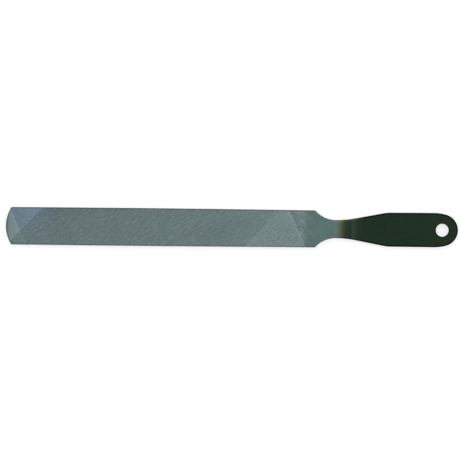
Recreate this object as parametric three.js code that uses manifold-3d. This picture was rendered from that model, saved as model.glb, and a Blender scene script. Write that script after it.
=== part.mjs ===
// A flat file cut from one bar of steel: a toothed blade, rounded shoulders, a narrow neck and a flat
// handle with a hang hole. Millimetres, +Z up. The point faces -X, the handle faces +X, and the underside
// lies on z = 0. The origin is the middle of the underside.
import * as THREE from "three";
import { mergeVertices } from "three/addons/utils/BufferGeometryUtils.js";
import Module from "manifold-3d";

const wasm = await Module();
wasm.setup();

// ---- Driving dimensions -------------------------------------------------------------------------------

const OVERALL_LENGTH = 297;
const THICKNESS = 4;

// Blade: a long shallow bow on each edge, a rounded nose and sharp nose corners.
const BLADE_LENGTH = 203.2;
const NOSE_RADIUS = 22.6;
const NOSE_WIDTH = 24.6;
const MIDDLE_WIDTH = 24.95;
const HEEL_WIDTH = 24.3;

// Shoulder, neck and handle.
const SHOULDER_RADIUS = 18;
const NECK_WIDTH = 12;
const NECK_RADIUS = 69;
const FLARE_ANGLE = THREE.MathUtils.degToRad(10.8);
const FLARE_RADIUS = 25;
const HANDLE_START_WIDTH = 22.4;
const HANDLE_WIDTH = 22.6;
const HANDLE_CORNER_RADIUS = 30;
const HANDLE_END_RADIUS = 10.6;
const HOLE_DIAMETER = 8.5;
const HOLE_FROM_END = 10.3;
const EDGE_BREAK = 0.5;

// Teeth: rows of chisel cuts across both faces, with the steep side of each tooth towards the point, and
// straight cuts across one narrow edge. The other narrow edge is safe.
const TOOTH_PITCH = 0.8;
const TOOTH_DEPTH = 0.28;
const TOOTH_LAND_RISE = 0.03;
const TOOTH_FRONT_LEAN = THREE.MathUtils.degToRad(12);
const ROW_ANGLE = THREE.MathUtils.degToRad(65);
const ROWS_START_FROM_POINT = 8;
const ROWS_END_FROM_POINT = 191.2;
const EDGE_TOOTH_DEPTH = 0.2;
const EDGE_ROWS_START_FROM_POINT = 15.6;
const EDGE_ROWS_END_FROM_POINT = 184.4;

// How finely curves are drawn.
const ARC_DIVISIONS = 6;
const BOW_DIVISIONS = 6;
const HOLE_SIDES = 48;

// How far a cutting shape stands past what it cuts.
const CLEARANCE = 2;

// ---- Places worked out from the dimensions ------------------------------------------------------------

const POINT_X = -OVERALL_LENGTH / 2;
const END_X = OVERALL_LENGTH / 2;
const HEEL_X = POINT_X + BLADE_LENGTH;
const NECK_HALF = NECK_WIDTH / 2;

// ---- Joining and cutting ------------------------------------------------------------------------------

function solidFrom(geometry) {
  const bare = geometry.clone();
  bare.deleteAttribute("normal");
  bare.deleteAttribute("uv");
  const merged = mergeVertices(bare, 1e-4);
  return new wasm.Manifold(
    new wasm.Mesh({
      numProp: 3,
      vertProperties: merged.attributes.position.array,
      triVerts: new Uint32Array(merged.index.array),
    }),
  );
}

function geometryFrom(solid) {
  const mesh = solid.getMesh();
  const geometry = new THREE.BufferGeometry();
  geometry.setAttribute("position", new THREE.BufferAttribute(mesh.vertProperties, mesh.numProp));
  geometry.setIndex(new THREE.BufferAttribute(mesh.triVerts, 1));
  geometry.computeVertexNormals();
  return geometry;
}

// ---- Outline ------------------------------------------------------------------------------------------

// The bow of one blade edge, from the nose corner to the heel corner, on the +Y side.
function bladeEdge() {
  const noseHalf = NOSE_WIDTH / 2;
  const heelHalf = HEEL_WIDTH / 2;
  const noseCornerX = POINT_X + NOSE_RADIUS - Math.sqrt(NOSE_RADIUS ** 2 - noseHalf ** 2);
  const middleHalf = MIDDLE_WIDTH / 2;
  return new THREE.QuadraticBezierCurve(
    new THREE.Vector2(noseCornerX, noseHalf),
    new THREE.Vector2((noseCornerX + HEEL_X) / 2, 2 * middleHalf - (noseHalf + heelHalf) / 2),
    new THREE.Vector2(HEEL_X, heelHalf),
  );
}

// The rounded nose, from the centreline to the nose corner on the +Y side.
function noseArc() {
  const centreX = POINT_X + NOSE_RADIUS;
  const cornerAngle = Math.asin(NOSE_WIDTH / 2 / NOSE_RADIUS);
  const arc = new THREE.Path();
  arc.absarc(centreX, 0, NOSE_RADIUS, Math.PI, Math.PI - cornerAngle, true);
  return arc.getPoints(ARC_DIVISIONS);
}

// Shoulder, neck, flare, side and rounded end of the handle, from the heel corner to the centreline at the
// far end. Each arc runs into the next without a kink, except at the sharp heel corner.
function handleCurve() {
  const heelHalf = HEEL_WIDTH / 2;
  const shoulderSweep = Math.acos(1 - (heelHalf - NECK_HALF) / SHOULDER_RADIUS);
  const neckX = HEEL_X + SHOULDER_RADIUS * Math.sin(shoulderSweep);

  const rise = (radius) => radius * (1 - Math.cos(FLARE_ANGLE));
  const run = (radius) => radius * Math.sin(FLARE_ANGLE);
  const straightRise = HANDLE_START_WIDTH / 2 - NECK_HALF - rise(NECK_RADIUS) - rise(FLARE_RADIUS);
  const straightRun = straightRise / Math.tan(FLARE_ANGLE);
  const sideX = neckX + run(NECK_RADIUS) + straightRun + run(FLARE_RADIUS);

  const endCentreX = END_X - HANDLE_END_RADIUS;
  const cornerCentreY = HANDLE_WIDTH / 2 - HANDLE_CORNER_RADIUS;
  const centresApart = HANDLE_CORNER_RADIUS - HANDLE_END_RADIUS;
  const cornerX = endCentreX - Math.sqrt(centresApart ** 2 - cornerCentreY ** 2);
  const meetingAngle = Math.atan2(-cornerCentreY, endCentreX - cornerX);

  const down = -Math.PI / 2;
  const up = Math.PI / 2;
  const curve = new THREE.Path();
  curve.absarc(neckX, NECK_HALF + SHOULDER_RADIUS, SHOULDER_RADIUS, down - shoulderSweep, down, false);
  curve.absarc(neckX, NECK_HALF + NECK_RADIUS, NECK_RADIUS, down, down + FLARE_ANGLE, false);
  curve.absarc(
    sideX,
    HANDLE_START_WIDTH / 2 - FLARE_RADIUS,
    FLARE_RADIUS,
    up + FLARE_ANGLE,
    up,
    true,
  );
  curve.absarc(cornerX, cornerCentreY, HANDLE_CORNER_RADIUS, up, meetingAngle, true);
  curve.absarc(endCentreX, 0, HANDLE_END_RADIUS, meetingAngle, 0, true);
  return { points: curve.getPoints(ARC_DIVISIONS), neckX };
}

// Steps along a blade edge as straight-cut teeth: a slope inwards, then a steep face back out that looks
// towards the point.
function toothedEdge(edge) {
  const length = edge.getLength();
  const count = Math.round((EDGE_ROWS_END_FROM_POINT - EDGE_ROWS_START_FROM_POINT) / TOOTH_PITCH);
  const frontRun = EDGE_TOOTH_DEPTH * Math.tan(TOOTH_FRONT_LEAN);
  const at = (fromPoint) => edge.getPointAt((POINT_X + fromPoint - edge.v0.x) / length);
  const points = [edge.v0.clone()];
  for (let i = 0; i <= count; i++) {
    const crest = at(EDGE_ROWS_START_FROM_POINT + i * TOOTH_PITCH);
    if (i > 0) points.push(new THREE.Vector2(crest.x - frontRun, crest.y - EDGE_TOOTH_DEPTH));
    points.push(crest);
  }
  points.push(edge.v2.clone());
  return points;
}

const mirrored = (points) => points.map((p) => new THREE.Vector2(p.x, -p.y)).reverse();

function withoutRepeats(points) {
  return points.filter((p, i) => p.distanceTo(points[(i + 1) % points.length]) > 1e-6);
}

function outline() {
  const nose = noseArc();
  const edge = bladeEdge();
  const handle = handleCurve().points;
  const safeSide = [...nose, ...edge.getPoints(BOW_DIVISIONS), ...handle];
  const toothedSide = [...nose, ...toothedEdge(edge), ...handle];
  return new THREE.Shape(withoutRepeats([...safeSide, ...mirrored(toothedSide)]));
}

function hangHole() {
  const hole = new THREE.Path();
  hole.absarc(END_X - HOLE_FROM_END, 0, HOLE_DIAMETER / 2, 0, 2 * Math.PI, false);
  return hole.getPoints(HOLE_SIDES / 2);
}

// ---- Blank --------------------------------------------------------------------------------------------

function blank() {
  return solidFrom(new THREE.ExtrudeGeometry(outline(), { depth: THICKNESS, bevelEnabled: false }));
}

// A body with the handle's outline and hole, chamfered all round, that opens out wide over the blade.
// What it shares with the blank is the blank with its handle edges broken, running out at the shoulders.
function brokenEdgeEnvelope() {
  const { points, neckX } = handleCurve();
  const handle = points.filter((p) => p.x >= neckX - 1e-6);
  const wide = HEEL_WIDTH / 2 + CLEARANCE;
  const flareOut = new THREE.Vector2(neckX - (wide - NECK_HALF), wide);
  const back = new THREE.Vector2(POINT_X - CLEARANCE, wide);
  const side = [back, flareOut, ...handle];
  const shape = new THREE.Shape(withoutRepeats([...side, ...mirrored(side)]));
  shape.holes.push(new THREE.Path(withoutRepeats(hangHole())));
  const geometry = new THREE.ExtrudeGeometry(shape, {
    depth: THICKNESS - 2 * EDGE_BREAK,
    bevelEnabled: true,
    bevelThickness: EDGE_BREAK,
    bevelSize: EDGE_BREAK,
    bevelOffset: -EDGE_BREAK,
    bevelSegments: 1,
  });
  return solidFrom(geometry.translate(0, 0, EDGE_BREAK));
}

// ---- Teeth --------------------------------------------------------------------------------------------

// One cutter for a whole field of rows. Its underside is a saw profile, pushed across the blade and then
// sheared so that its rows lean at the row angle. The crests stop just above the blade's face, which
// leaves each tooth a narrow flat land.
function rowCutter() {
  const count = Math.round((ROWS_END_FROM_POINT - ROWS_START_FROM_POINT) / TOOTH_PITCH);
  const start = POINT_X + ROWS_START_FROM_POINT;
  const crestZ = THICKNESS + TOOTH_LAND_RISE;
  const valleyZ = THICKNESS - TOOTH_DEPTH;
  const frontRun = ((crestZ - valleyZ) * Math.tan(TOOTH_FRONT_LEAN)) / Math.sin(ROW_ANGLE);

  const profile = new THREE.Shape();
  profile.moveTo(start, crestZ);
  for (let i = 1; i <= count; i++) {
    const crest = start + i * TOOTH_PITCH;
    profile.lineTo(crest - frontRun, valleyZ);
    profile.lineTo(crest, crestZ);
  }
  profile.lineTo(start + count * TOOTH_PITCH, THICKNESS + CLEARANCE);
  profile.lineTo(start, THICKNESS + CLEARANCE);

  const reach = MIDDLE_WIDTH + 2 * CLEARANCE;
  const geometry = new THREE.ExtrudeGeometry(profile, { depth: reach, bevelEnabled: false });
  geometry.rotateX(Math.PI / 2).translate(0, reach / 2, 0);
  const lean = -1 / Math.tan(ROW_ANGLE);
  return geometry.applyMatrix4(new THREE.Matrix4().makeShear(0, 0, lean, 0, 0, 0));
}

// The same cutter for the other face: turned over about the blade's long axis.
function turnedOver(geometry) {
  return geometry.clone().rotateX(Math.PI).translate(0, 0, THICKNESS);
}

// ---- The part -----------------------------------------------------------------------------------------

function fileBodyMaterial() {
  return new THREE.MeshStandardMaterial({ color: 0x677979, roughness: 0.45, metalness: 0.9 });
}

function fileBody() {
  const cutter = rowCutter();
  const solid = blank()
    .intersect(brokenEdgeEnvelope())
    .subtract(solidFrom(cutter))
    .subtract(solidFrom(turnedOver(cutter)));
  const mesh = new THREE.Mesh(geometryFrom(solid), fileBodyMaterial());
  mesh.name = "file_body";
  return mesh;
}

const flatFile = new THREE.Group();
flatFile.add(fileBody());

export default flatFile;
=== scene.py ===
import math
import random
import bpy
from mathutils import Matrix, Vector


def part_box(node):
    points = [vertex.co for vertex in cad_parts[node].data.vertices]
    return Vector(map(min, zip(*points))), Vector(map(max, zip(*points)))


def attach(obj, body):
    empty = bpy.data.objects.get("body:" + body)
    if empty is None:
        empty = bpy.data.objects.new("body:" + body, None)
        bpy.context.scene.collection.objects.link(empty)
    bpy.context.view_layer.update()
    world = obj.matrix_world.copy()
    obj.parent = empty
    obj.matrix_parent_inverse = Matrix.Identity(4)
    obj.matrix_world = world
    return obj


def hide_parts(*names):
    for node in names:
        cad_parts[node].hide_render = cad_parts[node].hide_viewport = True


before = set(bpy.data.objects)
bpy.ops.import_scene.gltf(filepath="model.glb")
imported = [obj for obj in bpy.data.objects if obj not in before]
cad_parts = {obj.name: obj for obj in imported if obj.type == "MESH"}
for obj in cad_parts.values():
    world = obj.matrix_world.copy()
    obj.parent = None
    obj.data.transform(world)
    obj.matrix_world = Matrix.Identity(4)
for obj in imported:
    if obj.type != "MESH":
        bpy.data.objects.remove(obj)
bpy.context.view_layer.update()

# A flat file made from one bar of steel, lying on a pale floor. The point faces -X, the handle +X, and the
# main face looks up. Lengths are millimetres until a mesh or an object is made, and metres from there on.
from types import SimpleNamespace

import bmesh
import bpy
from mathutils import Matrix, Vector

MM = 0.001
LOW, HIGH = (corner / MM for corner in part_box("file_body"))

# ---- The blank: the same outline as the CAD solid, with its edges rounded ----------------------------

POINT_X = LOW.x
END_X = HIGH.x
THICKNESS = HIGH.z - LOW.z
BLADE_LENGTH = 203.2
HEEL_X = POINT_X + BLADE_LENGTH
NOSE_RADIUS = 22.6
NOSE_WIDTH = 24.6
MIDDLE_WIDTH = 24.95
HEEL_WIDTH = 24.3
BOW_PULL = MIDDLE_WIDTH - (NOSE_WIDTH + HEEL_WIDTH) / 4  # draws the blade's edge out to MIDDLE_WIDTH
SHOULDER_RADIUS = 18
NECK_WIDTH = 12
NECK_RADIUS = 69
FLARE_ANGLE = 10.8
FLARE_RADIUS = 25
HANDLE_START_WIDTH = 22.4
HANDLE_WIDTH = 22.6
HANDLE_CORNER_RADIUS = 30
HANDLE_END_RADIUS = 10.6
HOLE_DIAMETER = 8.5
HOLE_FROM_END = 10.3
HOLE_X = END_X - HOLE_FROM_END

NOSE_ROUND = 0.4        # radii of the rounded edges
BLADE_ROUND = 0.25
HANDLE_ROUND = 1.2
HOLE_ROUND = 0.7
HANDLE_ROUND_PAST_HEEL = (4, 22)  # where the edge starts to grow rounder, and where it has that round
HOLE_REACH = HOLE_DIAMETER / 2 + HOLE_ROUND
ROUND_STEPS = 9
SHARPEST_SMOOTH = 10.5  # degrees: more than one step of a rounded edge, less than the slope of a tooth
ARC_STEPS = 24
HOLE_SIDES = 72
SAME_POINT = 0.0001     # points of the outline that are closer than this are one

# ---- The teeth ---------------------------------------------------------------------------------------

TOOTH_FRONT_LEAN = 12   # degrees from upright
CREST_RISE = 0.012      # how far the cutter's crests pass above the face, which leaves a narrow flat land
TOOTH_PITCH = 0.8
TOOTH_DEPTH = 0.28
ROW_ANGLE = 65          # degrees from the length
ROWS = (8.0, 191.2)     # where a field of rows starts and ends on the centreline, from the point
CROSS_PITCH = 1.05
CROSS_DEPTH = 0.24
CROSS_ANGLE = 45        # degrees from the length, the other way
CROSS_ROWS = (12.5, 168.2)
EDGE_DEPTH = 0.2
EDGE_ROWS = (15.6, 184.4)
PITCH_WANDER = 0.012    # how unevenly rows are spaced, as a share of their pitch
DEPTH_WANDER = 0.03     # how unevenly deep the rows are, and the crossing rows, as shares of their depth
CROSS_WANDER = 0.04
CROSS_SWELL = 0.05      # how far the crossing rows' depth also rises and falls, and over how many rows
CROSS_SWELL_ROWS = 3.7
CLEARANCE = 2           # how far a cutter passes what it cuts
SLIVER = 0.001          # faces and edges thinner than this are taken out after the cuts

# ---- The map that the looks are laid out on ----------------------------------------------------------

BAKE_MAP = "OFBake"
MAP_OVERLAP = 7         # how far each half of a strip may run past the middle of the file
MAP_GAP = 0.6           # between strips
FACE_SLOPE = 0.15       # a polygon whose normal rises more than this is laid out with a face
NOSE_DEPTH = 6          # how much of the file's two ends the last strip takes
HANDLE_END_DEPTH = 12
NOSE_PLACE = 1          # where the nose, the handle's end and the hole's wall start along that strip
HANDLE_END_PLACE = 35
HOLE_PLACE = 90

# ---- Colours -----------------------------------------------------------------------------------------

def screen(red, green, blue):
    """A colour as a screen shows it, from 0 to 255, turned into the linear colour that a shader takes."""
    def channel(value):
        value /= 255
        return value / 12.92 if value <= 0.04045 else ((value + 0.055) / 1.055) ** 2.4
    return (channel(red), channel(green), channel(blue), 1)


STEEL = screen(139, 159, 159)
BLUE_BLOOM = (0.935, 0.945, 1.18)      # this and the next one multiply the steel's colour
SHOULDER_TINT = (0.745, 0.86, 0.805)
SCALE_GREEN = (0.0098, 0.0298, 0.0157, 1)  # these three are linear: screen steps are coarse in the dark
SCALE_BROWN = (0.0150, 0.0225, 0.0112, 1)
SCALE_OLIVE = (0.0160, 0.0320, 0.0105, 1)
RUBBED_STEEL = screen(72, 80, 77)
NECK_TINTS = (          # each with its place along the file, from the middle
    (67.0, screen(139, 157, 145)),
    (69.5, screen(118, 134, 122)),
    (71.0, screen(110, 121, 97)),
    (72.5, screen(90, 98, 65)),
    (74.5, screen(65, 74, 49)),
    (76.0, screen(57, 70, 58)),
    (77.5, screen(48, 65, 69)),
    (79.5, screen(65, 84, 67)),
    (81.5, screen(56, 73, 53)),
    (83.0, screen(51, 62, 55)),
    (84.5, screen(44, 63, 49)),
)
FIRST_TINT_X = NECK_TINTS[0][0]
LAST_TINT_X = NECK_TINTS[-1][0]
TINT_EDGE = 2           # over how much length the first and last tints blend into what lies beyond
TINT_WOBBLE = 1.2       # how uneven the tints' edges are, and how much more so the shoulder's
SHOULDER_WOBBLE = 1.5
BROWN_SHARE = 0.75      # the most brown that the scale takes on

# ---- Tones: how much brighter or darker than STEEL each kind of surface is ---------------------------

CREST_TONE = 1.12
VALLEY_TONE = 0.8
TIP_TONE = 1.14
HEEL_TONE = 0.95
CROSSED_TONES = (0.882, 0.935)  # near the point and near the heel
# painted shade on the rounded rims of the bare steel and the neck
RIM_SHADE_TONE = 0.44
# painted shade along the blade's edge and round the nose
EDGE_SHADE_TONE = 0.55
# painted shade on the rounded rims of the scale
SCALE_RIM_SHADE_TONE = 0.26
FIRST_ROW_HIGHLIGHT_TONE = 1.08   # painted highlight on the burr that the first cut throws up
FIRST_ROWS_SHADE_TONE = 0.89  # painted shade on the single-cut rows next to the tip
# painted highlight along the last row at the heel
LAST_ROW_HIGHLIGHT_TONE = 1.27
HEEL_PAINTED_LIGHT = 0.12        # painted light: how much brighter the cuts grow towards the heel's +Y corner
UPPER_SIDE_SHADE_TONE = 0.93       # painted shade on a stretch of the +Y edge behind the tip

# ---- Noises: the size of their blotches, and how far each one moves the tone up and down -------------

CLOUDS = {"size": 14, "detail": 3}
GRAIN = {"size": 0.45, "detail": 3}
FLECKS = {"size": 0.7, "detail": 4, "roughness": 0.65}
GRINDING = {"size": 1, "detail": 3, "stretch": (16, 0.2, 0.2)}
STREAKS = {"size": 1, "detail": 2, "stretch": (4.5, 1.1, 4), "turn": 45}
ROW_STREAKS = {"size": 1, "detail": 2, "stretch": (4, 0.9, 4), "turn": -ROW_ANGLE, "offset": (5, 0, 0)}
SPECKLES = {"size": 1.3, "detail": 2, "offset": (70, 0, 0)}
STAINS = {"size": 2.4, "detail": 4, "roughness": 0.6, "offset": (0, 9, 0)}
HUES = {"size": 18, "detail": 2, "offset": (40, 0, 0)}
WOBBLES = {"size": 5, "detail": 2}
MOTTLES = {"size": 8, "detail": 4, "roughness": 0.65, "offset": (3, 0, 0)}
PATCHES = {"size": 4, "detail": 4, "roughness": 0.6, "offset": (9, 4, 0)}
RUBS = {"size": 1, "detail": 4, "stretch": (4, 4, 0.6), "roughness": 0.6, "offset": (0, 0, 31)}

CLOUD_SPREAD = 0.035
GRAIN_SPREAD = 0.08
FLECK_SPREAD = 0.3
STREAK_SPREAD = 0.05
ROW_SPREAD = 0.05
SPECKLE_SPREAD = 0.06
STAIN_SPREADS = (0.04, 0.18)  # everywhere, and on the stained part of the heel

RIPPLE_SPACING = 2.7    # slanting ripples of light, where the two cuts fall in and out of step
RIPPLE_ANGLE = 36
RIPPLE_PACKET = 3.2     # how far one packet of them reaches
RIPPLE_ORDER = 0.9      # how close to parallel the ripples are: 1 is all in line
RIPPLE_SPREADS = (0.08, 0.13)  # where there is one cut, and where the two cross
RIPPLE_SWELL = (0.7, 1.1)  # how much the clouds weaken and strengthen them

NOISE_REACH = (0.3, 0.7)  # a noise is mostly between these, and the ripples between the next two
RIPPLE_REACH = (0.2, 0.8)
SWELL_CLOUDS = (0.35, 0.65)  # where in a noise a change starts and is full, here and below
BLUER_HUES = (0.52, 0.7)
BROWN_MOTTLES = (0.5, 0.68)
OLIVE_PATCHES = (0.55, 0.72)
RUBBED_RUBS = (0.56, 0.68)

# ---- Where those surfaces are ------------------------------------------------------------------------
# A slope is the size of the z part of the surface's normal: 1 on a level face and 0 on an upright wall.
# Of a pair, the first is where something starts and the second where it is full, unless noted.

FLAT_SLOPES = (0.05, 0.15)      # faces and teeth, not walls
OFF_WALL_SLOPES = (0.1, 0.45)   # the same, but full only further up a rounded edge
RIM_SLOPES = (0.995, 0.8)       # painted shade on the rims of the bare steel
SCALE_RIM_SLOPES = (0.9999, 0.97)  # painted shade on the rims of the scale, which starts nearer to its level face
RUBBED_SLOPES = (0.2, 0.4, 0.6, 0.8)  # rubbed spots start, are full, begin to fade and have ended

UPPER_LEVELS = (LOW.z + THICKNESS * 0.45, LOW.z + THICKNESS * 0.55)  # underside below, upper side above
VALLEY_DROPS = (0.03, TOOTH_DEPTH)  # how far below the face a valley's tone starts and is full
CREST_DROPS = (0.04, 0)         # and where a crest's tone starts and is full
TIP_TO_HEEL_X = (-1, 1)         # where the bare steel's tone passes from the tip's to the heel's
LEFT_SIDE_Y = (-1, 10)          # where the +Y side's painted light and shade start and are full
EDGE_WIDTH = 1.4                # of the painted shade line along the blade's edge
EDGE_FADE = 1                   # the length over which it ends at the heel
NOSE_SHADE_SHARES = (0.5, 0.8)  # it is wider round the nose: a share of 0.5 makes it twice as wide
NOSE_SHADE_Y = (2, 9)           # from the centreline: where the first share ends and the second is full
NOSE_SHADE_FADE = 4             # the length behind the nose corner over which the extra width ends
FIRST_ROW = (ROWS[0] - 1.3, ROWS[0] + 0.1, 0.3)  # the first row's painted highlight: start, end and softness, along the centreline
# where the last row's painted highlight starts and ends, and its softness
LAST_ROW = (ROWS[1] - 0.8, ROWS[1] + 0.4, 0.2)
FIRST_ROWS = (ROWS[0] + 1, ROWS[0] + 9)  # over these, that painted shade gives way to the usual tone
HEEL_PAINTED_LIGHT_ALONG = (0.7, 0.95)   # where that painted light starts and is full, as shares of the blade's length, from the nose corner to the heel
UPPER_SIDE_SHADE_ALONG = (0.1, 0.25, 0.06)  # where that painted shade starts and ends, and its softness, as such shares
STAINED_X = (38, 50, 5)         # start, end and softness
SHOULDER_TINT_X = (46.5, 49.5)  # where the shoulder's greener tint starts and is full
BLOOM_REACH = (7, 19)           # from the +Y edge: where the blue bloom is full and where it ends
BLOOM_SLANT = (45, 12)          # over this length behind the point, the bloom draws back by this much
BLOOM_END = (36, 48)            # behind the point: where it starts to fade, and where it ends
BLOOM_ON_TIP = 0.25             # its share on the bare tip
FAINT_BLOOM = 0.2               # its share in faint patches elsewhere
OLIVE_END = (END_X - 30, END_X)  # the stretch over which olive patches spread more
OLIVE_LIFT = 0.14               # how much their noise is raised at its end

# ---- Shine and relief --------------------------------------------------------------------------------

SCALE_METAL = 0.6       # how metallic the scale is, apart from its rims
SPECULAR_LEVEL = 0.3
CREST_ROUGHNESS = 0.40
VALLEY_ROUGHNESS = 0.55
SCALE_ROUGHNESS = (0.5, 0.62)
CLOUD_ROUGHNESS = 0.07
GRINDING_ROUGHNESS = 0.15
GRINDING_DEPTH = 0.025  # depths of the relief
SCALE_SKIN_DEPTH = 0.1
GRAIN_DEPTH = 0.006

# ---- Studio ------------------------------------------------------------------------------------------

FLOOR_REACH = 3000      # from the middle to each side
FLOOR_GAP = 0.02        # keeps the floor just clear of the underside
FLOOR_ALBEDO = 0.4
FLOOR_ROUGHNESS = 0.9
FLOOR_GLOW = 0.7
HORIZON_LIGHT = 1.0
OVERHEAD_LIGHT = 0.25
SKY_HEIGHTS = (0.2, 0.95)  # how far up a direction points where one light ends and the other is full
LAMP_SIZE = 1.2         # this and the lamps' places are metres, and their powers are watts
KEY_PLACE, KEY_POWER = (-0.5, 1.2, 2.0), 17
FILL_PLACE, FILL_POWER = (1.55, -0.15, 1.9), 13
LENS = 200
PICTURE_WIDTH = 302     # how much the picture takes in, at the level of the main face
CAMERA_TURN = 0.6       # degrees
FILE_RIGHT_OF_MIDDLE = 1.29  # where the file's middle is in the picture
FILE_ABOVE_MIDDLE = 1.3


def smoothstep(low, high, value):
    t = min(max((value - low) / (high - low), 0), 1)
    return t * t * (3 - 2 * t)


# ---- Outline -----------------------------------------------------------------------------------------

def arc(centre, radius, start, end, steps=ARC_STEPS):
    """Points along an arc from one angle to another, in degrees, with both ends."""
    points = []
    for i in range(steps + 1):
        angle = math.radians(start + (end - start) * i / steps)
        points.append((centre[0] + radius * math.cos(angle), centre[1] + radius * math.sin(angle)))
    return points


def nose_corner_x():
    return POINT_X + NOSE_RADIUS - math.sqrt(NOSE_RADIUS**2 - (NOSE_WIDTH / 2) ** 2)


def blade_edge_y(x):
    """Half the blade's width at x: a long shallow bow from corner to corner, never past the CAD box."""
    start = nose_corner_x()
    t = (x - start) / (HEEL_X - start)
    bow = (1 - t) ** 2 * NOSE_WIDTH / 2 + 2 * t * (1 - t) * BOW_PULL + t**2 * HEEL_WIDTH / 2
    return min(bow, HIGH.y)


def nose():
    corner = math.degrees(math.asin(NOSE_WIDTH / 2 / NOSE_RADIUS))
    return arc((POINT_X + NOSE_RADIUS, 0), NOSE_RADIUS, 180, 180 - corner)


def blade_edge():
    start = nose_corner_x()
    steps = 2 * ARC_STEPS
    places = [start + (HEEL_X - start) * i / steps for i in range(steps + 1)]
    return [(x, blade_edge_y(x)) for x in places]


def handle_arcs():
    """Shoulder, neck, flare, side and end of the handle, from the heel corner to the end's middle."""
    neck, side = NECK_WIDTH / 2, HANDLE_START_WIDTH / 2
    sweep = math.degrees(math.acos(1 - (HEEL_WIDTH / 2 - neck) / SHOULDER_RADIUS))
    neck_x = HEEL_X + SHOULDER_RADIUS * math.sin(math.radians(sweep))
    flare = math.radians(FLARE_ANGLE)
    bend_rise = (NECK_RADIUS + FLARE_RADIUS) * (1 - math.cos(flare))
    bend_run = (NECK_RADIUS + FLARE_RADIUS) * math.sin(flare)
    side_x = neck_x + bend_run + (side - neck - bend_rise) / math.tan(flare)

    end_x = END_X - HANDLE_END_RADIUS
    corner_y = HANDLE_WIDTH / 2 - HANDLE_CORNER_RADIUS
    corner_x = end_x - math.sqrt((HANDLE_CORNER_RADIUS - HANDLE_END_RADIUS) ** 2 - corner_y**2)
    meeting = math.degrees(math.atan2(-corner_y, end_x - corner_x))
    return [
        *arc((neck_x, neck + SHOULDER_RADIUS), SHOULDER_RADIUS, -90 - sweep, -90),
        *arc((neck_x, neck + NECK_RADIUS), NECK_RADIUS, -90, -90 + FLARE_ANGLE),
        *arc((side_x, side - FLARE_RADIUS), FLARE_RADIUS, 90 + FLARE_ANGLE, 90),
        *arc((corner_x, corner_y), HANDLE_CORNER_RADIUS, 90, meeting),
        *arc((end_x, 0), HANDLE_END_RADIUS, meeting, 0),
    ]


def outline():
    """The whole outline, anticlockwise from the middle of the nose, with no point twice."""
    half = nose() + blade_edge() + handle_arcs()
    ring = [(x, -y) for x, y in half] + half[::-1]
    kept = []
    for point in ring:
        if not kept or math.dist(point, kept[-1]) > SAME_POINT:
            kept.append(point)
    return kept[:-1]


def edge_round(x):
    """Radius of the rounded edge at x: small on the blade, fuller at the nose and round the handle."""
    nose_share = 1 - smoothstep(POINT_X, nose_corner_x(), x)
    handle_share = smoothstep(*HANDLE_ROUND_PAST_HEEL, x - HEEL_X)
    at_nose = (NOSE_ROUND - BLADE_ROUND) * nose_share
    at_handle = (HANDLE_ROUND - BLADE_ROUND) * handle_share
    return BLADE_ROUND + at_nose + at_handle


# ---- Meshes and cutting ------------------------------------------------------------------------------

def object_from(name, bm):
    """Turns a mesh in millimetres into an object in metres, and frees it."""
    bmesh.ops.recalc_face_normals(bm, faces=bm.faces)
    bmesh.ops.scale(bm, vec=(MM, MM, MM), verts=bm.verts)
    mesh = bpy.data.meshes.new(name)
    bm.to_mesh(mesh)
    bm.free()
    made = bpy.data.objects.new(name, mesh)
    bpy.context.scene.collection.objects.link(made)
    return made


def closed_stack(name, rings):
    """A closed solid from rings of the same number of points, one above the other, with flat ends."""
    bm = bmesh.new()
    stack = [[bm.verts.new(point) for point in ring] for ring in rings]
    bm.faces.new(stack[0][::-1])
    bm.faces.new(stack[-1])
    count = len(stack[0])
    for lower, upper in zip(stack, stack[1:]):
        for i in range(count):
            j = (i + 1) % count
            bm.faces.new((lower[i], lower[j], upper[j], upper[i]))
    return object_from(name, bm)


def evaluated_mesh(piece):
    graph = bpy.context.evaluated_depsgraph_get()
    return bpy.data.meshes.new_from_object(piece.evaluated_get(graph))


def cut(piece, cutter):
    """Takes the cutter's volume out of the piece and throws the cutter away."""
    step = piece.modifiers.new("cut", "BOOLEAN")
    step.operation = "DIFFERENCE"
    step.solver = "MANIFOLD"
    step.object = cutter
    bpy.context.view_layer.update()
    mesh = evaluated_mesh(piece)
    piece.modifiers.clear()
    old = piece.data
    piece.data = mesh
    bpy.data.meshes.remove(old)
    bpy.data.objects.remove(cutter)


def drop_slivers(piece):
    """Takes out the needle-thin faces and the very short edges that the cuts leave."""
    bm = bmesh.new()
    bm.from_mesh(piece.data)
    bmesh.ops.dissolve_degenerate(bm, dist=SLIVER * MM, edges=bm.edges)
    bm.to_mesh(piece.data)
    bm.free()


def blank():
    """The untoothed blank: the outline drawn in towards both faces by a quarter circle."""
    points = outline()
    count = len(points)
    inward = []
    for i, here in enumerate(points):
        before, after = Vector(points[i - 1]), Vector(points[(i + 1) % count])
        first = (Vector(here) - before).normalized()
        second = (after - Vector(here)).normalized()
        # The new vector times a distance moves both neighbouring sides in by that distance.
        sum_of_normals = Vector((-first.y - second.y, first.x + second.x))
        inward.append(sum_of_normals / (1 + first.dot(second)))

    def ring(angle, top):
        made = []
        for (x, y), direction in zip(points, inward):
            radius = edge_round(x)
            inset = radius * (1 - math.cos(angle))
            drop = radius * (1 - math.sin(angle))
            z = HIGH.z - drop if top else LOW.z + drop
            made.append((x + direction.x * inset, y + direction.y * inset, z))
        return made

    angles = [math.pi / 2 * i / ROUND_STEPS for i in range(ROUND_STEPS + 1)]
    rings = [ring(angle, False) for angle in reversed(angles)] + [ring(angle, True) for angle in angles]
    return closed_stack("file_body_visual", rings)


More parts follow.
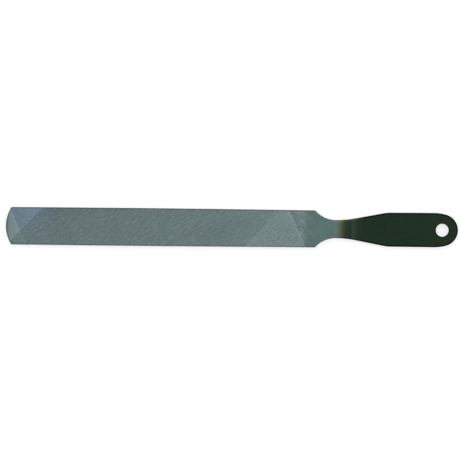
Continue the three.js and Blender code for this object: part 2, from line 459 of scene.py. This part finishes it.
def hole_cutter():
    """A spool that cuts the hang hole and rounds both of its rims."""
    profile = [(HOLE_REACH, LOW.z - CLEARANCE)]
    for i in range(ROUND_STEPS + 1):
        angle = math.pi / 2 * (1 - i / ROUND_STEPS)
        rise = HOLE_ROUND * (1 - math.sin(angle))
        profile.append((HOLE_DIAMETER / 2 + HOLE_ROUND * (1 - math.cos(angle)), LOW.z + rise))
    profile += [(radius, HIGH.z + LOW.z - z) for radius, z in reversed(profile)]

    def ring(radius, z):
        turns = (2 * math.pi * i / HOLE_SIDES for i in range(HOLE_SIDES))
        return [(HOLE_X + radius * math.cos(a), radius * math.sin(a), z) for a in turns]

    return closed_stack("hole_cutter", [ring(radius, z) for radius, z in profile])


def saw_profile(first, last, pitch, depth, lean_run, rng, unevenness):
    """(x, drop) points of a saw: a long slope down, then a steep face up that looks towards the point.
    A drop is measured down from the face, so a crest's drop is slightly negative."""
    count = round((last - first) / pitch)
    points = [(POINT_X + first, -CREST_RISE)]
    for i in range(1, count + 1):
        wander = rng.gauss(0, PITCH_WANDER * pitch) if i < count else 0
        crest = POINT_X + first + i * pitch + wander
        drop = depth * unevenness(i, rng)
        points.append((crest - lean_run * (drop + CREST_RISE), drop))
        points.append((crest, -CREST_RISE))
    return points


def row_cutter(name, rows, pitch, depth, angle, slant, seed, unevenness, under=False):
    """One cutter for a field of slanting rows. slant is 1 or -1, the way that they lean."""
    run = math.tan(math.radians(TOOTH_FRONT_LEAN)) / math.sin(math.radians(angle))
    saw = saw_profile(*rows, pitch, depth, run, random.Random(seed), unevenness)
    saw += [(saw[-1][0], -CLEARANCE), (saw[0][0], -CLEARANCE)]
    shear = slant / math.tan(math.radians(angle))
    reach = MIDDLE_WIDTH / 2 + CLEARANCE
    ends = []
    for y in (-reach, reach):
        if under:
            ends.append([(x - shear * y, y, LOW.z + drop) for x, drop in saw])
        else:
            ends.append([(x + shear * y, y, HIGH.z - drop) for x, drop in saw])
    return closed_stack(name, ends)


def edge_cutter():
    """The straight cuts across the narrow edge on the -Y side, following the blade's bow."""
    run = math.tan(math.radians(TOOTH_FRONT_LEAN))
    saw = saw_profile(*EDGE_ROWS, TOOTH_PITCH, EDGE_DEPTH, run, random.Random(4), slight)
    saw += [(saw[-1][0], -CLEARANCE), (saw[0][0], -CLEARANCE)]
    levels = (LOW.z - CLEARANCE, HIGH.z + CLEARANCE)
    ends = [[(x, drop - blade_edge_y(x), z) for x, drop in saw] for z in levels]
    return closed_stack("edge_cutter", ends)


def slight(_, rng):
    """A row's share of the full depth: the single cut and the edge cut are nearly even."""
    return 1 + rng.gauss(0, DEPTH_WANDER)


def rolling(i, rng):
    """A row's share of the full depth: every few rows the crossing cut bites deeper, as faint streaks."""
    swell = CROSS_SWELL * math.sin(2 * math.pi * i / CROSS_SWELL_ROWS)
    return 1 + swell + rng.gauss(0, CROSS_WANDER)


# ---- Surface normals and the map that the looks are laid out on --------------------------------------

def smooth_rounds(piece):
    """Smooth shading on the rounded edges, flat shading on the faces and the teeth."""
    for polygon in piece.data.polygons:
        polygon.use_smooth = True
    piece.data.set_sharp_from_angle(angle=math.radians(SHARPEST_SMOOTH))
    weighted = piece.modifiers.new("weighted", "WEIGHTED_NORMAL")
    weighted.keep_sharp = True
    mesh = evaluated_mesh(piece)
    piece.modifiers.clear()
    piece.data = mesh


def map_levels():
    """Where each strip of the map starts, in millimetres up it, and how high the whole map is."""
    heights = {"top": MIDDLE_WIDTH, "under": MIDDLE_WIDTH, "left": THICKNESS, "right": THICKNESS}
    levels = {}
    level = 0
    for strip, height in heights.items():
        for half in ("near_point", "near_end"):
            levels[strip, half] = level
            level += height + MAP_GAP
    levels["ends"] = level
    return levels, level + THICKNESS + MAP_GAP


def strip_of(centre, normal):
    """Which strip of the map, or part of the last strip, a polygon is laid out on."""
    if abs(normal.z) > FACE_SLOPE:
        return "top" if normal.z > 0 else "under"
    if math.dist((centre.x, centre.y), (HOLE_X, 0)) < HOLE_REACH:
        return "hole"
    near_an_end = not POINT_X + NOSE_DEPTH < centre.x < END_X - HANDLE_END_DEPTH
    if near_an_end and abs(normal.x) > abs(normal.y):
        return "nose" if normal.x < 0 else "end"
    return "left" if centre.y > 0 else "right"


def turn_about_hole(centre, corner):
    """The angle of a polygon's corner about the hole, within half a turn of the polygon's own."""
    turn = math.atan2(corner.y, corner.x - HOLE_X)
    centre_turn = math.atan2(centre.y, centre.x - HOLE_X)
    return turn + 2 * math.pi * round((centre_turn - turn) / (2 * math.pi))


def place_on_map(strip, levels, centre, corner):
    """Where a polygon's corner goes along the map and up it."""
    half = "near_point" if centre.x < 0 else "near_end"
    start = POINT_X if centre.x < 0 else -MAP_OVERLAP
    rise = corner.z - LOW.z
    if strip in ("top", "under"):
        return corner.x - start, levels[strip, half] + corner.y + MIDDLE_WIDTH / 2
    if strip in ("left", "right"):
        return corner.x - start, levels[strip, half] + rise
    if strip == "hole":
        return HOLE_PLACE + HOLE_REACH * turn_about_hole(centre, corner), levels["ends"] + rise
    start = HANDLE_END_PLACE if strip == "end" else NOSE_PLACE
    return start + corner.y + MIDDLE_WIDTH / 2, levels["ends"] + rise


def lay_out_map(piece):
    """A map of straight strips: each face and each long narrow side in two halves that overlap a little,
    then one strip for the nose, the handle's end and the wall of the hole."""
    mesh = piece.data
    layer = mesh.uv_layers.new(name=BAKE_MAP)
    levels, map_height = map_levels()
    map_width = (END_X - POINT_X) / 2 + MAP_OVERLAP + MAP_GAP
    for polygon in mesh.polygons:
        centre = polygon.center / MM
        strip = strip_of(centre, polygon.normal)
        for loop in polygon.loop_indices:
            corner = mesh.vertices[mesh.loops[loop].vertex_index].co / MM
            along, up = place_on_map(strip, levels, centre, corner)
            layer.data[loop].uv = ((along + MAP_GAP / 2) / map_width, (up + MAP_GAP / 2) / map_height)


# ---- Materials ---------------------------------------------------------------------------------------

class Graph:
    """Short names for building the nodes of one material. Places and distances are in millimetres."""

    def __init__(self, name):
        self.material = bpy.data.materials.new(name)
        self.material.use_nodes = True
        self.tree = self.material.node_tree
        self.surface = self.tree.nodes["Principled BSDF"]
        geometry = self.tree.nodes.new("ShaderNodeNewGeometry")
        self.place = self.vector("SCALE", geometry.outputs["Position"], factor=1 / MM)
        self.x, self.y, self.z = self.parts(self.place)
        self.facing = self.parts(geometry.outputs["Normal"])

    def wire(self, value, socket):
        """Links a socket to an input, or sets the input to a plain value."""
        if isinstance(value, bpy.types.NodeSocket):
            self.tree.links.new(value, socket)
        else:
            socket.default_value = value

    def parts(self, vector):
        node = self.tree.nodes.new("ShaderNodeSeparateXYZ")
        self.wire(vector, node.inputs[0])
        return node.outputs[0], node.outputs[1], node.outputs[2]

    def vector(self, operation, a, b=None, factor=None):
        node = self.tree.nodes.new("ShaderNodeVectorMath")
        node.operation = operation
        self.wire(a, node.inputs[0])
        if b is not None:
            self.wire(b, node.inputs[1])
        if factor is not None:
            self.wire(factor, node.inputs["Scale"])
        return node.outputs[0]

    def maths(self, operation, a, b=0.0, c=0.0):
        node = self.tree.nodes.new("ShaderNodeMath")
        node.operation = operation
        for value, socket in zip((a, b, c), node.inputs):
            self.wire(value, socket)
        return node.outputs[0]

    def add(self, a, b):
        return self.maths("ADD", a, b)

    def subtract(self, a, b):
        return self.maths("SUBTRACT", a, b)

    def times(self, a, b):
        return self.maths("MULTIPLY", a, b)

    def product(self, first, *others):
        for other in others:
            first = self.times(first, other)
        return first

    def one_minus(self, a):
        return self.maths("SUBTRACT", 1.0, a)

    def ramp(self, value, low, high, start=0.0, end=1.0):
        """A smooth step from start at low to end at high."""
        node = self.tree.nodes.new("ShaderNodeMapRange")
        node.interpolation_type = "SMOOTHSTEP"
        for item, socket in zip((value, low, high, start, end), node.inputs):
            self.wire(item, socket)
        return node.outputs[0]

    def within(self, value, low, high, soft=0.1):
        """1 between low and high, 0 outside them, with soft ends."""
        past_low = self.ramp(value, low - soft, low + soft)
        short_of_high = self.ramp(value, high - soft, high + soft, 1, 0)
        return self.times(past_low, short_of_high)

    def blend_value(self, share, a, b):
        """From the number a to the number b. Sockets 2 and 3 are the node's numbers."""
        node = self.tree.nodes.new("ShaderNodeMix")
        self.wire(share, node.inputs[0])
        self.wire(a, node.inputs[2])
        self.wire(b, node.inputs[3])
        return node.outputs[0]

    def blend(self, share, a, b):
        """From the colour a to the colour b. Sockets 6 and 7, and the output 2, are the node's colours."""
        node = self.tree.nodes.new("ShaderNodeMix")
        node.data_type = "RGBA"
        self.wire(share, node.inputs[0])
        self.wire(a, node.inputs[6])
        self.wire(b, node.inputs[7])
        return node.outputs[2]

    def spread(self, noise, amount):
        """A factor about 1 that goes up and down with a noise by up to amount."""
        return self.ramp(noise, *NOISE_REACH, 1 - amount, 1 + amount)

    def centred(self, noise):
        """The noise less its middle value."""
        return self.subtract(noise, 0.5)

    def brighten(self, colour, factor):
        """The colour times a number."""
        if not isinstance(colour, bpy.types.NodeSocket):
            colour = colour[:3]
        return self.vector("SCALE", colour, factor=factor)

    def noise(self, size, detail=2.0, stretch=(1, 1, 1), turn=0.0, roughness=0.5, offset=(0, 0, 0)):
        """Noise of about 0 to 1 whose blotches are about size across, stretched along turned axes."""
        mapping = self.tree.nodes.new("ShaderNodeMapping")
        mapping.vector_type = "TEXTURE"
        self.wire(self.place, mapping.inputs["Vector"])
        mapping.inputs["Location"].default_value = offset
        mapping.inputs["Rotation"].default_value = (0, 0, math.radians(turn))
        mapping.inputs["Scale"].default_value = [size * s for s in stretch]
        node = self.tree.nodes.new("ShaderNodeTexNoise")
        node.inputs["Scale"].default_value = 1
        node.inputs["Detail"].default_value = detail
        node.inputs["Roughness"].default_value = roughness
        self.wire(mapping.outputs[0], node.inputs["Vector"])
        return node.outputs["Fac"]

    def ripples(self, spacing, angle, packet):
        """Packets of ripples, -1 to 1: spacing apart, and at an angle in degrees from the length."""
        node = self.tree.nodes.new("ShaderNodeTexGabor")
        self.wire(self.place, node.inputs["Vector"])
        node.inputs["Scale"].default_value = 1 / packet
        node.inputs["Frequency"].default_value = packet / spacing
        node.inputs["Anisotropy"].default_value = RIPPLE_ORDER
        # The node's own direction is the one across its ripples.
        node.inputs["Orientation"].default_value = math.radians(angle + 90)
        return self.ramp(node.outputs["Value"], *RIPPLE_REACH, -1, 1)

    def bands(self, value, low, high, stops):
        """A colour ramp over value, with (place, colour) stops."""
        node = self.tree.nodes.new("ShaderNodeValToRGB")
        elements = node.color_ramp.elements
        while len(elements) < len(stops):
            elements.new(0.5)
        for element, (place, colour) in zip(elements, stops):
            element.position = (place - low) / (high - low)
            element.color = colour
        share = self.maths("DIVIDE", self.subtract(value, low), high - low)
        self.wire(share, node.inputs["Fac"])
        return node.outputs["Color"]

    def bump(self, height, distance, normal=None):
        """Relief from a height of 0 to 1, distance millimetres deep."""
        node = self.tree.nodes.new("ShaderNodeBump")
        node.inputs["Distance"].default_value = distance * MM
        self.wire(height, node.inputs["Height"])
        if normal is not None:
            self.wire(normal, node.inputs["Normal"])
        return node.outputs["Normal"]


def mark_fields(g):
    """Masks of 0 to 1: upper side, how level, uncut, in the rows, crossed by both cuts, crest, valley."""
    m = SimpleNamespace()
    m.upper = g.ramp(g.z, *UPPER_LEVELS)
    m.level = g.maths("ABSOLUTE", g.facing[2])
    m.flat = g.ramp(m.level, *FLAT_SLOPES)
    m.off_wall = g.ramp(m.level, *OFF_WALL_SLOPES)

    # The underside's rows are the upper side's turned over about the length.
    side_y = g.times(g.y, g.ramp(m.upper, 0, 1, -1, 1))
    m.from_point = g.subtract(g.x, POINT_X)
    m.row_place = g.add(m.from_point, g.times(side_y, 1 / math.tan(math.radians(ROW_ANGLE))))
    cross_place = g.subtract(m.from_point, g.times(g.y, 1 / math.tan(math.radians(CROSS_ANGLE))))
    m.in_rows = g.within(m.row_place, *ROWS)
    in_cross = g.times(g.within(cross_place, *CROSS_ROWS), m.upper)
    m.crossed = g.times(m.in_rows, in_cross)
    m.uncut = g.one_minus(g.maths("MAXIMUM", m.in_rows, in_cross))
    m.plain = g.maths("MAXIMUM", m.uncut, g.one_minus(m.off_wall))

    below_face = g.maths("MINIMUM", g.subtract(g.z, LOW.z), g.subtract(HIGH.z, g.z))
    m.valley = g.product(g.ramp(below_face, *VALLEY_DROPS), m.flat, g.one_minus(m.uncut))
    m.crest = g.times(g.ramp(below_face, *CREST_DROPS), g.one_minus(m.uncut))
    return m


def distance_inside(g, m):
    """How far a point is in from the blade's edge, less where the nose's shade reaches further in."""
    spare = g.one_minus(m.along)
    near_nose = g.product(spare, spare, NOSE_WIDTH / 2)
    near_middle = g.product(m.along, spare, 2 * BOW_PULL)
    near_heel = g.product(m.along, m.along, HEEL_WIDTH / 2)
    from_middle = g.maths("ABSOLUTE", g.y)
    inside = g.subtract(g.add(g.add(near_nose, near_middle), near_heel), from_middle)

    nose_x = g.subtract(g.x, POINT_X + NOSE_RADIUS)
    nose_reach = g.maths("SQRT", g.add(g.times(nose_x, nose_x), g.times(g.y, g.y)))
    share = g.ramp(from_middle, *NOSE_SHADE_Y, *NOSE_SHADE_SHARES)
    inside_nose = g.times(g.subtract(NOSE_RADIUS, nose_reach), share)
    inside_nose = g.maths("MINIMUM", inside, inside_nose)
    past_nose = g.ramp(g.x, nose_corner_x(), nose_corner_x() + NOSE_SHADE_FADE)
    return g.blend_value(past_nose, inside_nose, inside)


def mark_shaded_edges(g, m):
    """The blade's outer edge and the rounded rims, which are painted darker as shade."""
    m.along = g.maths("DIVIDE", g.subtract(g.x, nose_corner_x()), HEEL_X - nose_corner_x())
    on_blade = g.ramp(g.x, HEEL_X - EDGE_FADE, HEEL_X, 1, 0)
    m.edge = g.product(g.ramp(distance_inside(g, m), EDGE_WIDTH, 0, 0, 1), on_blade, m.off_wall)
    m.rim = g.product(g.ramp(m.level, *RIM_SLOPES), m.off_wall, m.uncut)
    m.scale_rim = g.times(g.ramp(m.level, *SCALE_RIM_SLOPES), m.off_wall)


def mark_heat(g, m):
    """How far a point is into the tinted neck and into the scaled handle, and where it is bare steel."""
    m.wobble = g.times(g.centred(g.noise(**WOBBLES)), TINT_WOBBLE)
    m.heat_place = g.add(g.x, m.wobble)
    m.in_heat = g.ramp(m.heat_place, FIRST_TINT_X, FIRST_TINT_X + TINT_EDGE)
    m.in_scale = g.ramp(m.heat_place, LAST_TINT_X - TINT_EDGE, LAST_TINT_X + TINT_EDGE)
    m.bare = g.times(m.plain, g.one_minus(m.in_scale))


def add_noises(g, m):
    """The noises that colour, roughness and relief share."""
    m.cloud = g.noise(**CLOUDS)
    m.grain = g.noise(**GRAIN)
    m.flecks = g.noise(**FLECKS)
    m.grinding = g.noise(**GRINDING)


def surface_tone(g, m):
    """How bright each surface is: teeth, bare ends and crossed cuts, with painted highlights on the first
    and last rows and painted light towards the heel's +Y corner, and painted shade on the rows next to the
    tip, behind the tip's +Y edge, on the rims and along the edge.
    """
    bare_end = g.blend_value(g.ramp(g.x, *TIP_TO_HEEL_X), TIP_TONE, HEEL_TONE)
    crossed_tone = g.ramp(m.along, 0, 1, *CROSSED_TONES)
    left_side = g.ramp(g.y, *LEFT_SIDE_Y)
    heel_painted_light = g.product(left_side, m.in_rows, g.ramp(m.along, *HEEL_PAINTED_LIGHT_ALONG, 0, HEEL_PAINTED_LIGHT))
    upper_side_shade = g.product(left_side, m.crossed, g.within(m.along, *UPPER_SIDE_SHADE_ALONG))
    first_row_highlight = g.times(g.within(m.row_place, *FIRST_ROW), m.flat)
    first_rows_shade = g.ramp(m.row_place, *FIRST_ROWS, FIRST_ROWS_SHADE_TONE, 1)
    last_row_highlight = g.times(g.within(m.row_place, *LAST_ROW), m.flat)
    return g.product(
        g.blend_value(m.valley, 1.0, VALLEY_TONE),
        g.ramp(m.crest, 0, 1, 1, CREST_TONE),
        g.blend_value(m.uncut, 1.0, bare_end),
        g.blend_value(m.crossed, 1.0, crossed_tone),
        g.add(1.0, heel_painted_light),
        g.ramp(upper_side_shade, 0, 1, 1, UPPER_SIDE_SHADE_TONE),
        g.ramp(m.rim, 0, 1, 1, RIM_SHADE_TONE),
        g.ramp(m.edge, 0, 1, 1, EDGE_SHADE_TONE),
        g.ramp(first_row_highlight, 0, 1, 1, FIRST_ROW_HIGHLIGHT_TONE),
        g.ramp(last_row_highlight, 0, 1, 1, LAST_ROW_HIGHLIGHT_TONE),
        g.blend_value(g.subtract(m.in_rows, m.crossed), 1.0, first_rows_shade),
    )


def uneven_tone(g, m):
    """How the tone wanders: clouds and grain all over, streaks and ripples on the cuts, and stains."""
    ripple = g.product(
        g.ripples(RIPPLE_SPACING, RIPPLE_ANGLE, RIPPLE_PACKET),
        g.blend_value(m.crossed, *RIPPLE_SPREADS),
        g.ramp(m.cloud, *SWELL_CLOUDS, *RIPPLE_SWELL),
    )
    on_cuts = g.product(
        g.spread(g.noise(**STREAKS), STREAK_SPREAD),
        g.spread(g.noise(**ROW_STREAKS), ROW_SPREAD),
        g.spread(g.noise(**SPECKLES), SPECKLE_SPREAD),
        g.add(1.0, ripple),
    )
    stain = g.noise(**STAINS)
    stained = g.times(m.uncut, g.within(g.x, *STAINED_X))
    faint, strong = STAIN_SPREADS
    return g.product(
        g.spread(m.cloud, CLOUD_SPREAD),
        g.spread(m.grain, GRAIN_SPREAD),
        g.blend_value(m.plain, on_cuts, 1.0),
        g.blend_value(stained, g.spread(stain, faint), g.spread(stain, strong)),
    )


def steel_colour(g, m):
    """Grey steel, with a blue bloom behind the tip's +Y corner and a greener shoulder."""
    steel = g.brighten(STEEL, g.times(surface_tone(g, m), uneven_tone(g, m)))
    slant_length, slant = BLOOM_SLANT
    from_corner = g.add(g.subtract(HIGH.y, g.y), g.ramp(m.from_point, 0, slant_length, 0, slant))
    bloom = g.product(
        g.ramp(from_corner, *BLOOM_REACH, 1, 0),
        g.ramp(m.from_point, *BLOOM_END, 1, 0),
        g.ramp(m.in_rows, 0, 1, BLOOM_ON_TIP, 1),
        m.upper,
    )
    faint = g.ramp(g.noise(**HUES), *BLUER_HUES, 0, FAINT_BLOOM)
    bloom = g.maths("MAXIMUM", bloom, faint)
    steel = g.blend(bloom, steel, g.vector("MULTIPLY", steel, BLUE_BLOOM))
    shoulder = g.ramp(g.add(g.x, g.times(m.wobble, SHOULDER_WOBBLE)), *SHOULDER_TINT_X)
    return g.blend(shoulder, steel, g.vector("MULTIPLY", steel, SHOULDER_TINT))


def neck_colour(g, m):
    """The heat tints across the neck, with grain and painted shade on the rims."""
    tints = g.bands(m.heat_place, FIRST_TINT_X, LAST_TINT_X, NECK_TINTS)
    tone = g.times(g.spread(m.grain, GRAIN_SPREAD), g.ramp(m.rim, 0, 1, 1, RIM_SHADE_TONE))
    return g.brighten(tints, tone)


def scale_colour(g, m):
    """Green-black scale with brown and olive mottles, painted shade on the rims, and spots rubbed back to
    steel.
    """
    brown = g.ramp(g.noise(**MOTTLES), *BROWN_MOTTLES, 0, BROWN_SHARE)
    patches = g.add(g.noise(**PATCHES), g.ramp(g.x, *OLIVE_END, 0, OLIVE_LIFT))
    scale = g.blend(brown, SCALE_GREEN, SCALE_BROWN)
    scale = g.blend(g.ramp(patches, *OLIVE_PATCHES), scale, SCALE_OLIVE)
    scale = g.brighten(scale, g.spread(m.flecks, FLECK_SPREAD))
    scale = g.brighten(scale, g.ramp(m.scale_rim, 0, 1, 1, SCALE_RIM_SHADE_TONE))
    steep, steep_soft, level_soft, level = RUBBED_SLOPES
    rubbed = g.product(
        g.ramp(g.noise(**RUBS), *RUBBED_RUBS),
        g.ramp(m.level, level, level_soft),
        g.ramp(m.level, steep, steep_soft),
    )
    return g.blend(rubbed, scale, RUBBED_STEEL)


def steel_relief(g, m):
    """Grinding lines along the bare steel, a fine skin on the scale, and grain everywhere."""
    relief = g.bump(g.times(m.grinding, m.bare), GRINDING_DEPTH)
    relief = g.bump(g.times(m.flecks, m.in_scale), SCALE_SKIN_DEPTH, relief)
    return g.bump(m.grain, GRAIN_DEPTH, relief)


def steel_roughness(g, m):
    """Shiny crests, duller valleys, grinding lines where it is bare, and a dull scale."""
    rough = g.blend_value(m.valley, CREST_ROUGHNESS, VALLEY_ROUGHNESS)
    rough = g.add(rough, g.times(g.centred(m.cloud), CLOUD_ROUGHNESS))
    rough = g.add(rough, g.product(g.centred(m.grinding), m.bare, GRINDING_ROUGHNESS))
    scale = g.ramp(m.flecks, *NOISE_REACH, *SCALE_ROUGHNESS)
    return g.blend_value(m.in_scale, rough, scale)


def file_steel():
    """Grey cut steel on the blade, heat tints across the neck and green-black scale on the handle."""
    g = Graph("file_steel")
    m = mark_fields(g)
    mark_shaded_edges(g, m)
    mark_heat(g, m)
    add_noises(g, m)
    colour = g.blend(m.in_heat, steel_colour(g, m), neck_colour(g, m))
    colour = g.blend(m.in_scale, colour, scale_colour(g, m))
    scale_metal = g.ramp(m.scale_rim, 0, 1, SCALE_METAL, 1)
    g.wire(colour, g.surface.inputs["Base Color"])
    g.wire(steel_roughness(g, m), g.surface.inputs["Roughness"])
    g.wire(g.blend_value(m.in_scale, 1.0, scale_metal), g.surface.inputs["Metallic"])
    g.wire(SPECULAR_LEVEL, g.surface.inputs["Specular IOR Level"])
    g.wire(steel_relief(g, m), g.surface.inputs["Normal"])
    return g.material


def floor_white():
    """A pale sheet that glows a little, as a lit photo table does."""
    g = Graph("floor_white")
    g.wire((FLOOR_ALBEDO, FLOOR_ALBEDO, FLOOR_ALBEDO, 1), g.surface.inputs["Base Color"])
    g.wire(FLOOR_ROUGHNESS, g.surface.inputs["Roughness"])
    g.wire((1, 1, 1, 1), g.surface.inputs["Emission Color"])
    g.wire(FLOOR_GLOW, g.surface.inputs["Emission Strength"])
    return g.material


# ---- The file ----------------------------------------------------------------------------------------

def file_body():
    """The whole file: the blank with its hole and its teeth, then its looks, on the one CAD body."""
    piece = blank()
    cut(piece, hole_cutter())
    rows = (ROWS, TOOTH_PITCH, TOOTH_DEPTH, ROW_ANGLE, -1)
    crossing = (CROSS_ROWS, CROSS_PITCH, CROSS_DEPTH, CROSS_ANGLE, 1)
    cut(piece, row_cutter("top_rows", *rows, seed=1, unevenness=slight))
    cut(piece, row_cutter("under_rows", *rows, seed=3, unevenness=slight, under=True))
    cut(piece, row_cutter("crossing_rows", *crossing, seed=2, unevenness=rolling))
    cut(piece, edge_cutter())
    drop_slivers(piece)
    lay_out_map(piece)
    smooth_rounds(piece)
    piece.data.materials.clear()
    piece.data.materials.append(file_steel())
    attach(piece, "root")
    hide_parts("file_body")


# ---- Floor, light and camera -------------------------------------------------------------------------

def floor():
    """A level sheet just below the file, far wider than the picture."""
    bm = bmesh.new()
    bmesh.ops.create_grid(bm, x_segments=1, y_segments=1, size=FLOOR_REACH)
    for vertex in bm.verts:
        vertex.co.z = LOW.z - FLOOR_GAP
    made = object_from("floor", bm)
    made.data.materials.append(floor_white())


def area_light(name, place, power):
    """A square soft light that looks at the middle of the file."""
    data = bpy.data.lights.new(name, "AREA")
    data.size = LAMP_SIZE
    data.energy = power
    lamp = bpy.data.objects.new(name, data)
    lamp.location = place
    lamp.rotation_euler = (-Vector(place)).to_track_quat("-Z", "Y").to_euler()
    bpy.context.scene.collection.objects.link(lamp)


def sky():
    """A plain white surround, darker overhead, so that level steel seen from above reads as grey."""
    world = bpy.data.worlds.new("surround")
    world.use_nodes = True
    bpy.context.scene.world = world
    tree = world.node_tree
    background = tree.nodes["Background"]
    background.inputs["Color"].default_value = (1, 1, 1, 1)
    direction = tree.nodes.new("ShaderNodeTexCoord")
    split = tree.nodes.new("ShaderNodeSeparateXYZ")
    shade = tree.nodes.new("ShaderNodeMapRange")
    shade.interpolation_type = "SMOOTHSTEP"
    ends = (*SKY_HEIGHTS, HORIZON_LIGHT, OVERHEAD_LIGHT)
    for name, value in zip(("From Min", "From Max", "To Min", "To Max"), ends):
        shade.inputs[name].default_value = value
    tree.links.new(direction.outputs["Generated"], split.inputs[0])
    tree.links.new(split.outputs["Z"], shade.inputs["Value"])
    tree.links.new(shade.outputs[0], background.inputs["Strength"])


def camera():
    """Looks straight down with a long lens. The file lies a little turned and off the middle."""
    turn = math.radians(CAMERA_TURN)
    right = Vector((math.cos(turn), math.sin(turn), 0))
    up = Vector((-math.sin(turn), math.cos(turn), 0))
    middle = Vector(((POINT_X + END_X) / 2, 0, HIGH.z))
    data = bpy.data.cameras.new("camera")
    data.lens = LENS
    distance = PICTURE_WIDTH * data.lens / data.sensor_width
    made = bpy.data.objects.new("camera", data)
    aim = middle - right * FILE_RIGHT_OF_MIDDLE - up * FILE_ABOVE_MIDDLE
    made.location = (aim + Vector((0, 0, distance))) * MM
    made.rotation_euler = Matrix((right, up, Vector((0, 0, 1)))).transposed().to_euler()
    bpy.context.scene.collection.objects.link(made)
    bpy.context.scene.camera = made
    bpy.context.scene.view_settings.view_transform = "Standard"


file_body()
floor()
sky()
area_light("key", KEY_PLACE, KEY_POWER)
area_light("fill", FILL_PLACE, FILL_POWER)
camera()
